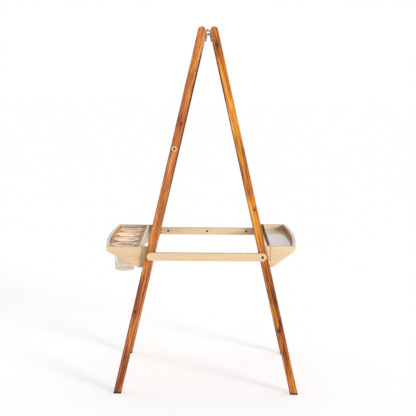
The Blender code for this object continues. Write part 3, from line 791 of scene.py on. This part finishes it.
def make_leg(side, end):
    node = f"{side}_leg_{end}"
    low, high = panel_box(node, side)
    foot_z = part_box(node)[0].z
    radius = (high.x - low.x) / 2
    middle = (high.x + low.x) / 2
    outline = [(low.x, up_at_height(low.x, foot_z)), (high.x, up_at_height(high.x, foot_z))]
    outline += arc((middle, high.z - radius), radius, 0, 180)
    bm = side_prism(outline, low.y, high.y)
    foot = Vector((middle, (low.y + high.y) / 2, up_at_height(middle, foot_z)))
    axes = PANEL[side] @ Matrix.Translation(foot)
    leg = shape(f"{node}_oiled", moved_to(bm, PANEL[side]), axes, LEG_ROUND)
    key = f"{side}_{end}"
    length = high.z - outline[0][1]
    material = ACACIA[side](f"acacia_leg_{key}", profile=LEG_PROFILE[key], length=length,
                            knots=LEG_KNOTS[key])
    finish_piece(leg, [material], BODY[side], "acacia", node)


def make_foot_pad(side, end):
    node = f"{side}_foot_pad_{end}"
    low, high = panel_box(node, side)
    sole, top = (corner.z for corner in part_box(node))
    corners = ((low.x, sole), (high.x, sole), (high.x, top), (low.x, top))
    outline = [(out, up_at_height(out, z)) for out, z in corners]
    bm = side_prism(outline, low.y, high.y)
    pad = shape(f"{node}_felt", moved_to(bm, PANEL[side]), bevel=PLATE_ROUND)
    finish_piece(pad, [PAD], BODY[side], "foot_rubber", node)


def make_rail(side, name, groove_at_top):
    node = f"{side}_{name}"
    low, high = panel_box(node, side)
    edge, inward = (high.z, -1) if groove_at_top else (low.z, 1)
    far = low.z if groove_at_top else high.z
    middle = (low.x + high.x) / 2
    groove = GROOVE_WIDE / 2
    inside = edge + inward * GROOVE_DEEP
    outline = (
        (low.x, far), (high.x, far), (high.x, edge),
        (middle + groove, edge), (middle + groove, inside),
        (middle - groove, inside), (middle - groove, edge), (low.x, edge),
    )
    bm = moved_to(side_prism(outline, low.y, high.y), PANEL[side])
    centre = PANEL[side] @ Vector((middle, 0, (low.z + high.z) / 2))
    axes = with_grain(centre, (0, 1, 0), PANEL[side].to_3x3() @ Vector((1, 0, 0)))
    rail = shape(f"{node}_oiled", bm, axes, RAIL_ROUND)
    finish_piece(rail, [ACACIA[side](f"acacia_{node}")], BODY[side], "acacia", node)


def make_board(side, face_material, slot):
    """A thin board: its writing face looks out, its edges and back are bare hardboard."""
    node = f"{side}_board"
    low, high = panel_box(node, side)
    axes = PANEL[side] @ Matrix.Translation((low + high) / 2)
    board = shape(f"{node}_faced", moved_to(box_solid(low, high), PANEL[side]), axes, PLATE_ROUND)
    finish_piece(board, [HARDBOARD, face_material], BODY[side], slot, node)
    paint_faces(board, 1, lambda face: face.normal.x > 0.5)


# ---------------------------------------------------------------- hinges and screws

def screw_head(name, radius, high):
    """A domed head with a cross recess, standing on Z = 0; its form is in shares of its size."""
    form = ((0, 0), (1, 0), (1, 0.3), (0.93, 0.55), (0.75, 0.82), (0.4, 0.97), (0.1, 1), (0, 1))
    dome = turned([(radius * out, high * up) for out, up in form], SMALL_TURNED_STEPS)
    deep = high * 0.75
    reach, half = radius * 0.62, radius * 0.13
    arms = []
    for x, y in ((reach, half), (half, reach)):
        arms.append(box_solid(Vector((-x, -y, high - deep)), Vector((x, y, high + deep))))
    return shape(name, dome, cuts=arms)


def screw_piece(name, source, place, direction, body, *nodes):
    """One more screw that shares the source's mesh."""
    obj = bpy.data.objects.new(name, source.data)
    bpy.context.scene.collection.objects.link(obj)
    obj.matrix_world = standing(place, direction)
    finish_piece(obj, [BRONZE], body, "dark_steel", *nodes)


def make_leaf(side, end, first):
    """A hinge leaf with rounded corners and its share of the knuckles."""
    node = f"{side}_hinge_leaf_{end}"
    low, high = panel_box(node, side)
    plate_top = -KNUCKLE_R - KNUCKLE_GAP * 2
    face_low = high.x - LEAF_THICK
    radius = LEAF_CORNER_R
    loop = arc((low.y + radius, low.z + radius), radius, 180, 270, 6)
    loop += arc((high.y - radius, low.z + radius), radius, 270, 360, 6)
    loop += [(high.y, plate_top), (low.y, plate_top)]
    plate = swept([(face_low, y, up) for y, up in loop], (LEAF_THICK, 0, 0))
    parts = [plate]
    pitch = (high.y - low.y) / KNUCKLES
    for index in range(first, KNUCKLES, 2):
        y_low = low.y + index * pitch + KNUCKLE_GAP / 2
        y_high = y_low + pitch - KNUCKLE_GAP
        tab_low, tab_high = Vector((face_low, y_low, plate_top)), Vector((high.x, y_high, 0))
        parts.append(box_solid(tab_low, tab_high))
        parts.append(side_prism(arc((0, 0), KNUCKLE_R, 0, 350, 35), y_low, y_high))
    leaf = shape(f"{node}_plated", moved_to(joined(*parts), PANEL[side]), PANEL[side])
    finish_piece(leaf, [STEEL], BODY[side], "steel", node)


def make_hinge_screws(side, end, source):
    for index in HINGE_SCREWS:
        node = f"{side}_hinge_screw_{end}_{index}"
        low, high = panel_box(node, side)
        seat = Vector((low.x + HINGE_SCREW_HIGH, (low.y + high.y) / 2, (low.z + high.z) / 2))
        direction = PANEL[side].to_3x3() @ Vector((-1, 0, 0))
        screw_piece(f"{node}_head", source, PANEL[side] @ seat, direction, BODY[side], node)


def make_hinge_pin(end):
    node = f"hinge_pin_{end}"
    low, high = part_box(node)
    half = (high.y - low.y) / 2
    radius = (high.x - low.x) / 2
    head = (
        (radius * 0.6, half - PIN_HEAD_HIGH), (radius, half - PIN_HEAD_HIGH),
        (radius, half - PIN_HEAD_EDGE), (radius * 0.8, half - PIN_HEAD_DOME), (radius * 0.4, half),
    )
    profile = [(0, -half)] + [(r, -h) for r, h in reversed(head)] + list(head) + [(0, half)]
    bm = turned(profile, SMALL_TURNED_STEPS)
    pin = shape(f"{node}_plated", moved_to(bm, standing((low + high) / 2, (0, 1, 0))))
    finish_piece(pin, [STEEL], CHALK_FRAME, "steel", node)


# ---------------------------------------------------------------- stretcher bars

# How much paler each bar is than the rest of the pale wood; the rear bar's extra paleness is
# painted light over the shade it sits in.
BAR_PAINTED_LIGHT = {"front": 0.0, "rear": 0.12}


def y_hole(x, z, y_start, y_end, radius):
    """A round cutter along Y."""
    steps = SMALL_TURNED_STEPS
    outline = arc((x, z), radius, 0, 360 - 360 / steps, steps - 1)
    return side_prism(outline, *sorted((y_start, y_end)))


def catch_slot(start, inner_y, end):
    """The slot that drops over the catch peg; it leaves the bar at its lower edge."""
    x, z = start
    heading = math.degrees(math.atan2(SLOT_RUN[1], SLOT_RUN[0]))
    outline = arc((x, z), SLOT_R, heading + 90, heading + 270)
    outline += [(px + SLOT_RUN[0], pz + SLOT_RUN[1]) for px, pz in (outline[-1], outline[0])]
    sides = (inner_y - END[end] * CUT_OVER, inner_y + END[end] * SLOT_DEEP)
    return side_prism(outline, *sorted(sides))


def make_bar(end, sink_screw):
    node = f"stretcher_bar_{end}"
    low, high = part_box(node)
    radius = (high.z - low.z) / 2
    z = (low.z + high.z) / 2
    out = END[end]
    inner_y, outer_y = (high.y, low.y) if out < 0 else (low.y, high.y)
    pivot_x, peg_x = high.x - radius, low.x + radius
    outline = arc((pivot_x, z), radius, -90, 90) + arc((peg_x, z), radius, 90, 270)
    bore_floor, bore_mouth = outer_y - out * COUNTERBORE_DEEP, outer_y + out * CUT_OVER
    cuts = [
        y_hole(pivot_x, z, bore_floor, bore_mouth, COUNTERBORE_R),
        catch_slot((peg_x, z), inner_y, end),
    ]
    sinks = [HINGE.x + index * SINK_SPACING for index in (-1, 0, 1)]
    for x in sinks:
        cuts.append(y_hole(x, z, inner_y - out * CUT_OVER, inner_y + out * SINK_DEEP, SINK_R))
    axes = with_grain((low + high) / 2, (1, 0, 0), (0, 0, 1))
    bar = shape(f"{node}_lacquered", side_prism(outline, low.y, high.y), axes, BAR_ROUND, cuts)
    # The rear bar is painted paler: painted light.
    material = pale_wood(f"pale_{node}", lift=BAR_PAINTED_LIGHT[end])
    finish_piece(bar, [material], f"bar_{end}", "pale_wood", node)
    for index, x in enumerate(sinks, start=1):
        seat = Vector((x, inner_y + out * (SINK_DEEP - SINK_SCREW_BED), z))
        screw_piece(f"{node}_screw_{index}", sink_screw, seat, (0, -out, 0), f"bar_{end}")


def make_pivot_bolt(end):
    """The bolt's head with its hexagon socket, in the bar's counterbore, and its shank."""
    node = f"pivot_bolt_{end}"
    low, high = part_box(node)
    centre = (low + high) / 2
    length = high.y - low.y
    seat = length - BOLT_HEAD_HIGH
    profile = (
        (0, 0), (BOLT_SHANK_R, 0), (BOLT_SHANK_R, seat), (BOLT_HEAD_R, seat),
        (BOLT_HEAD_R, length - BOLT_HEAD_EDGE), (BOLT_HEAD_R - BOLT_HEAD_EDGE, length),
        (BOLT_HEAD_R * 0.5, length), (0, length),
    )
    start = Vector((centre.x, low.y if END[end] > 0 else high.y, centre.z))
    place = standing(start, (0, END[end], 0))
    hexagon = [(x, y, length - HEX_DEEP) for x, y in arc((0, 0), HEX_R, 0, 300, 5)]
    socket = moved_to(swept(hexagon, (0, 0, HEX_DEEP * 2)), place)
    bm = moved_to(turned(profile, SMALL_TURNED_STEPS), place)
    bolt = shape(f"{node}_socket_head", bm, cuts=[socket])
    finish_piece(bolt, [BRONZE], CHALK_FRAME, "dark_steel", node)


def make_washer(end):
    """A plain washer that keeps the bar clear of the leg."""
    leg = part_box(f"chalk_leg_{end}")
    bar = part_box(f"stretcher_bar_{end}")
    leg_y, bar_y = (leg[1].y, bar[0].y) if END[end] > 0 else (leg[0].y, bar[1].y)
    low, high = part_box(f"pivot_bolt_{end}")
    middle = (low + high) / 2
    middle.y = (leg_y + bar_y) / 2
    half = WASHER_THICK / 2
    flat_r = WASHER_R - WASHER_EDGE
    profile = (
        (WASHER_BORE_R, -half), (flat_r, -half), (WASHER_R, -half * 0.4),
        (WASHER_R, half * 0.4), (flat_r, half), (WASHER_BORE_R, half),
    )
    washer = shape(f"pivot_washer_{end}", moved_to(turned(profile), standing(middle, (0, 1, 0))))
    finish_piece(washer, [STEEL], CHALK_FRAME, "steel")


def make_knob(end, source):
    """A turned ring of pale wood on the paint leg, with its screw sunk in the middle.

    Its form is given in shares of its radius and of how far it stands out.
    """
    node = f"side_knob_{end}"
    low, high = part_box(node)
    radius = (high.x - low.x) / 2
    proud = high.y - low.y
    leg_y = low.y if END[end] > 0 else high.y
    centre = Vector(((low.x + high.x) / 2, leg_y, (low.z + high.z) / 2))
    floor = proud * 0.42
    lip = radius * 0.08
    profile = [(0, 0), (radius * 0.82, 0), (radius * 0.93, proud * 0.25), (radius, proud * 0.5)]
    profile += arc((radius * 0.80, proud * 0.80), radius * 0.20, 0, 90, 6)
    profile += arc((KNOB_HOLE_R + lip, proud - lip), lip, 90, 180, 4)
    profile += [(KNOB_HOLE_R, floor), (0, floor)]
    place = standing(centre, (0, END[end], 0))
    axes = with_grain(centre, (1, 0, 0), (0, 1, 0))
    knob = shape(f"{node}_turned", moved_to(turned(profile), place), axes)
    finish_piece(knob, [pale_wood(f"pale_{node}")], PAINT_FRAME, "pale_wood", node)
    seat = place @ Vector((0, 0, floor))
    screw = f"side_knob_screw_{end}"
    screw_piece(f"{node}_screw", source, seat, (0, END[end], 0), PAINT_FRAME, screw)


def polish_peg(end):
    """The catch pegs keep their CAD shape."""
    peg = frame["nodes"][f"catch_peg_{end}"]
    peg.data.materials.clear()
    peg.data.materials.append(STEEL)


# ---------------------------------------------------------------- trays

def tray_edges(side):
    """Signed X of the tray's back and lip, and the heights of its bottom, lip and top."""
    low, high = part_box(f"{side}_tray_end_front")
    back, lip = outward(side, low, high)
    return back, lip, low.z, high.z - TRAY_LIP_HIGH, high.z


def slope_z(side, x):
    """Height of the tray's sloping underside at an X."""
    back, lip, bottom, lip_z, _ = tray_edges(side)
    start = back + SIDE[side] * TRAY_BOTTOM_FLAT
    return bottom + (lip_z - bottom) * (x - start) / (lip - start)


# How much paler the tray ends, by side and by end, and each bracket are than the other pale wood.
# The rear ends' paleness is painted light over their shade; the rear brackets' darkness is painted
# shade and the chalk front bracket's paleness painted light.
TRAY_LIFT = {"paint": 0.0, "chalk": 0.14}
END_PAINTED_LIGHT = {"front": 0.0, "rear": 0.75}
BRACKET_PAINTED_LIGHT_AND_SHADE = {"paint_front": 0.0, "paint_rear": -1.6, "chalk_front": 0.25, "chalk_rear": -1.2}


def make_tray_end(side, end):
    node = f"{side}_tray_end_{end}"
    low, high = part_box(node)
    back, lip, bottom, lip_z, top = tray_edges(side)
    slope_x = back + SIDE[side] * TRAY_BOTTOM_FLAT
    outline = ((back, bottom), (slope_x, bottom), (lip, lip_z), (lip, top), (back, top))
    axes = with_grain((low + high) / 2, (1, 0, 0), (0, 1, 0))
    panel = shape(f"{node}_lacquered", side_prism(outline, low.y, high.y), axes, TRAY_ROUND)
    # The rear ends are painted paler: painted light.
    material = pale_wood(f"pale_{node}", pith=(0.05, 0.08), lift=TRAY_LIFT[side] + END_PAINTED_LIGHT[end])
    finish_piece(panel, [material], BODY[side], "pale_wood", node)


def make_bracket(side, end):
    """The wedge between the leaning leg and the tray's upright back."""
    node = f"{side}_bracket_{end}"
    low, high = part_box(node)
    _, seam = outward(side, low, high)
    _, leg_high = panel_box(f"{side}_leg_{end}", side)
    face = []
    for z in (low.z, high.z):
        spot = PANEL[side] @ Vector((leg_high.x, 0, up_at_height(leg_high.x, z)))
        face.append(spot.x + SIDE[side] * BRACKET_GAP)
    outline = ((face[0], low.z), (seam, low.z), (seam, high.z), (face[1], high.z))
    axes = with_grain((low + high) / 2, (0, 0, 1), (0, 1, 0))
    wedge = shape(f"{node}_lacquered", side_prism(outline, low.y, high.y), axes, PLATE_ROUND)
    # The rear brackets are painted dark as painted shade; the chalk front bracket is painted paler
    # as painted light.
    material = pale_wood(f"pale_{node}", lift=BRACKET_PAINTED_LIGHT_AND_SHADE[f"{side}_{end}"])
    finish_piece(wedge, [material], BODY[side], "pale_wood", node)


def make_tray_screw(side, end, source):
    node = f"{side}_tray_screw_{end}"
    low, high = panel_box(node, side)
    seat = Vector((low.x + TRAY_SCREW_HIGH, (low.y + high.y) / 2, (low.z + high.z) / 2))
    direction = PANEL[side].to_3x3() @ Vector((-1, 0, 0))
    screw_piece(f"{node}_head", source, PANEL[side] @ seat, direction, BODY[side], node)


def make_tray_back(side):
    node = f"{side}_tray_back"
    low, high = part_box(node)
    axes = with_grain((low + high) / 2, (0, 1, 0), (1, 0, 0))
    back = shape(f"{node}_lacquered", box_solid(low, high), axes, PLATE_ROUND)
    materials = [pale_wood(f"pale_{node}"), RIM_SHEEN, HARDBOARD]
    finish_piece(back, materials, BODY[side], "pale_wood", node)
    up = axes.to_3x3().inverted() @ Vector((0, 0, 1))
    # Its top face is painted off-white: a painted reflection of the bright surroundings.
    paint_faces(back, 1, lambda face: face.normal.dot(up) > 0.9)
    # On the chalk side the back's face towards the legs is painted dark hardboard brown: painted
    # shade.
    if side == "chalk":
        paint_faces(back, 2, lambda face: face.normal.x < -0.9)


def bow(side, y):
    """How far the bowed front stands out past the tray's ends at a distance along it."""
    end_low, end_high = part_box(f"{side}_tray_end_front")
    front_low, front_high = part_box(f"{side}_tray_front")
    _, lip = outward(side, end_low, end_high)
    _, most = outward(side, front_low, front_high)
    return (most - lip) * (1 - (y / end_low.y) ** 2)


def bow_stations(side):
    """Distances along the tray at which its bowed front is measured."""
    low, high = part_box(f"{side}_tray_front")
    pitch = (high.y - low.y) / TRAY_FRONT_STEPS
    return [low.y + pitch * step for step in range(TRAY_FRONT_STEPS + 1)]


def make_tray_front(side):
    """The bowed front with its sloping lower edge; its top face carries the off-white painted
    reflection and its inner face the darker painted shade.
    """
    node = f"{side}_tray_front"
    _, lip, _, _, top = tray_edges(side)
    inner = lip - SIDE[side] * TRAY_FRONT_THICK
    section = ((inner, slope_z(side, inner)), (lip, slope_z(side, lip)), (lip, top), (inner, top))
    bm = bmesh.new()
    rings = []
    for y in bow_stations(side):
        rings.append([bm.verts.new((x + bow(side, y), y, z)) for x, z in section])
    for low, high in zip(rings, rings[1:]):
        for index in range(len(section)):
            after = (index + 1) % len(section)
            bm.faces.new((low[index], low[after], high[after], high[index]))
    bm.faces.new(rings[0])
    bm.faces.new(rings[-1])
    low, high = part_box(node)
    axes = with_grain((low + high) / 2, (0, 1, 0), (1, 0, 0))
    front = shape(f"{node}_lacquered", bm, axes, TRAY_ROUND)
    materials = [pale_wood(f"pale_{node}"), RIM_SHEEN, shelf_and_shade_wood(f"inner_shade_{node}")]
    finish_piece(front, materials, BODY[side], "pale_wood", node)
    up = axes.to_3x3().inverted() @ Vector((0, 0, 1))
    # The top face is painted off-white: a painted reflection of the bright surroundings.
    paint_faces(front, 1, lambda face: face.normal.dot(up) > 0.9)
    # The inner face is painted darker red-brown: painted shade inside the tray.
    paint_faces(front, 2, lambda face: face.normal.x * SIDE[side] < -0.9)


def bowed_plate(side, node):
    """A level plate between the tray's back and its bowed front."""
    low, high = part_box(node)
    inner, _ = outward(side, low, high)
    _, lip, *_ = tray_edges(side)
    edge = lip - SIDE[side] * (TRAY_FRONT_THICK + PLATE_GAP)
    stations = bow_stations(side)
    corners = [(inner, stations[0], low.z)]
    corners += [(edge + bow(side, y), y, low.z) for y in stations]
    corners.append((inner, stations[-1], low.z))
    return swept(corners, (0, 0, high.z - low.z))


def make_chalk_floor():
    node = "chalk_tray_floor"
    low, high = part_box(node)
    axes = Matrix.Translation((low + high) / 2)
    plate = shape(f"{node}_laminated", bowed_plate("chalk", node), axes, PLATE_ROUND / 2)
    finish_piece(plate, [LAMINATE_SHEEN], CHALK_FRAME, "tray_laminate", node)


def cup_centres():
    centres = []
    for index in CUPS:
        low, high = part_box(f"paint_cup_{index}")
        centres.append((low + high) / 2)
    return centres


def make_cup_plate():
    """The plate that holds the cups, its holes eased at the top edge."""
    node = "paint_cup_plate"
    low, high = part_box(node)
    radius = CUP_TOP_R + CUP_HOLE_GAP
    eased = radius + CUP_HOLE_EASE
    under, over = low.z - CUP_HOLE_OVER, high.z + CUP_HOLE_OVER
    profile = (
        (0, under), (radius, under), (radius, high.z - CUP_HOLE_EASE),
        (eased, high.z), (eased, over), (0, over),
    )
    holes = [moved_to(turned(profile), Matrix.Translation((c.x, c.y, 0))) for c in cup_centres()]
    axes = with_grain((low + high) / 2, (0, 1, 0), (0, 0, 1))
    plate = shape(f"{node}_lacquered", bowed_plate("paint", node), axes, 0.0, holes)
    finish_piece(plate, [shelf_and_shade_wood(f"shelf_{node}")], PAINT_FRAME, "pale_wood", node)


def make_cup(index):
    """A clear cup with a rolled rim, a thick base and a hollow foot."""
    node = f"paint_cup_{index}"
    low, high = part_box(node)
    centre = (low + high) / 2
    rim_r = (high.x - low.x) / 2
    bottom, top = low.z - centre.z, high.z - centre.z
    under_rim = top - CUP_RIM_THICK
    edge = CUP_RIM_THICK / 2
    floor = bottom + CUP_FOOT_HIGH + CUP_BASE_THICK
    hollow = bottom + CUP_FOOT_HIGH
    foot_in = CUP_FOOT_R - CUP_FOOT_RING
    foot_arc = (CUP_FOOT_R - CUP_FOOT_ROUND, bottom + CUP_FOOT_ROUND)
    lip_arc = (CUP_TOP_R - CUP_WALL + CUP_LIP_ROUND, top - CUP_LIP_ROUND)
    floor_arc = (CUP_FOOT_R - CUP_WALL - CUP_FLOOR_ROUND, floor + CUP_FLOOR_ROUND)
    profile = [(0, hollow), (foot_in - CUP_LIP_ROUND, hollow), (foot_in, bottom)]
    profile += arc(foot_arc, CUP_FOOT_ROUND, -90, 0, 5)
    profile += [(CUP_TOP_R, under_rim)]
    profile += arc((rim_r - edge, under_rim + edge), edge, -90, 90, 8)
    profile += arc(lip_arc, CUP_LIP_ROUND, 90, 180, 4)
    profile += arc(floor_arc, CUP_FLOOR_ROUND, 0, -90, 5)
    profile += [(0, floor)]
    axes = Matrix.Translation(centre)
    cup = shape(f"{node}_clear", moved_to(turned(profile, CUP_STEPS), axes), axes)
    finish_piece(cup, [CLEAR], f"cup_{index}", "clear_plastic", node)


# ---------------------------------------------------------------- assembly

def make_easel():
    """Every piece of the easel; the screw heads are copied from three source meshes."""
    hinge_screw = screw_head("hinge_screw_source", HINGE_SCREW_R, HINGE_SCREW_HIGH)
    tray_screw = screw_head("tray_screw_source", TRAY_SCREW_R, TRAY_SCREW_HIGH)
    sink_screw = screw_head("sink_screw_source", SINK_SCREW_R, SINK_SCREW_HIGH)
    for side in SIDE:
        for end in END:
            make_leg(side, end)
            make_foot_pad(side, end)
            make_leaf(side, end, 0 if side == "chalk" else 1)
            make_hinge_screws(side, end, hinge_screw)
            make_tray_end(side, end)
            make_bracket(side, end)
            make_tray_screw(side, end, tray_screw)
        make_rail(side, "top_rail", False)
        make_rail(side, "lower_rail", True)
        make_tray_back(side)
        make_tray_front(side)
    make_board("paint", WHITEBOARD, "whiteboard")
    make_board("chalk", CHALKBOARD, "chalkboard")
    make_chalk_floor()
    make_cup_plate()
    for end in END:
        make_hinge_pin(end)
        make_bar(end, sink_screw)
        make_pivot_bolt(end)
        make_washer(end)
        make_knob(end, sink_screw)
        polish_peg(end)
    for index in CUPS:
        make_cup(index)
    for source in (hinge_screw, tray_screw, sink_screw):
        bpy.data.objects.remove(source)


# ---------------------------------------------------------------- studio

def make_surroundings():
    """A bright backdrop behind the easel that fades to a dimmer room behind the camera."""
    world = bpy.data.worlds.new("studio")
    world.use_nodes = True
    nodes, links = world.node_tree.nodes, world.node_tree.links
    heading = nodes.new("ShaderNodeTexCoord")
    split = nodes.new("ShaderNodeSeparateXYZ")
    fade = nodes.new("ShaderNodeMapRange")
    fade.interpolation_type = "SMOOTHSTEP"
    fade.inputs["From Min"].default_value = BACKDROP_FADE[0]
    fade.inputs["From Max"].default_value = BACKDROP_FADE[1]
    fade.inputs["To Min"].default_value = ROOM_STRENGTH
    fade.inputs["To Max"].default_value = BACKDROP_STRENGTH
    links.new(heading.outputs["Generated"], split.inputs[0])
    links.new(split.outputs["Y"], fade.inputs["Value"])
    links.new(fade.outputs["Result"], nodes["Background"].inputs["Strength"])
    nodes["Background"].inputs["Color"].default_value = (1.0, 1.0, 1.0, 1.0)
    bpy.context.scene.world = world


def make_floor():
    half = FLOOR_HALF
    corners = ((-half, -half), (half, -half), (half, half), (-half, half))
    bm = bmesh.new()
    bm.faces.new([bm.verts.new((x, y, 0.0)) for x, y in corners])
    floor = new_object("studio_floor", bm)
    floor.data.materials.append(floor_material())


def add_light(name, kind, energy, turn):
    light = bpy.data.objects.new(name, bpy.data.lights.new(name, kind))
    light.data.energy = energy
    light.rotation_euler = turn
    bpy.context.scene.collection.objects.link(light)
    return light


def make_studio():
    """A pale floor, a key light from the right and front and a soft fill beside the camera."""
    make_floor()
    make_surroundings()
    key = add_light("key", "SUN", KEY_STRENGTH, KEY_TURN)
    key.data.angle = KEY_SPREAD
    fill = add_light("fill", "AREA", FILL_POWER, FILL_TURN)
    fill.data.size = FILL_SIZE
    fill.location = FILL_PLACE
    fill.visible_glossy = False
    bpy.context.scene.view_settings.view_transform = "Standard"


def make_camera():
    data = bpy.data.cameras.new("camera")
    data.lens = CAMERA_LENS
    camera = bpy.data.objects.new("camera", data)
    camera.location = CAMERA_PLACE
    camera.rotation_euler = CAMERA_TURN
    bpy.context.scene.collection.objects.link(camera)
    bpy.context.scene.camera = camera


make_easel()
make_studio()
make_camera()
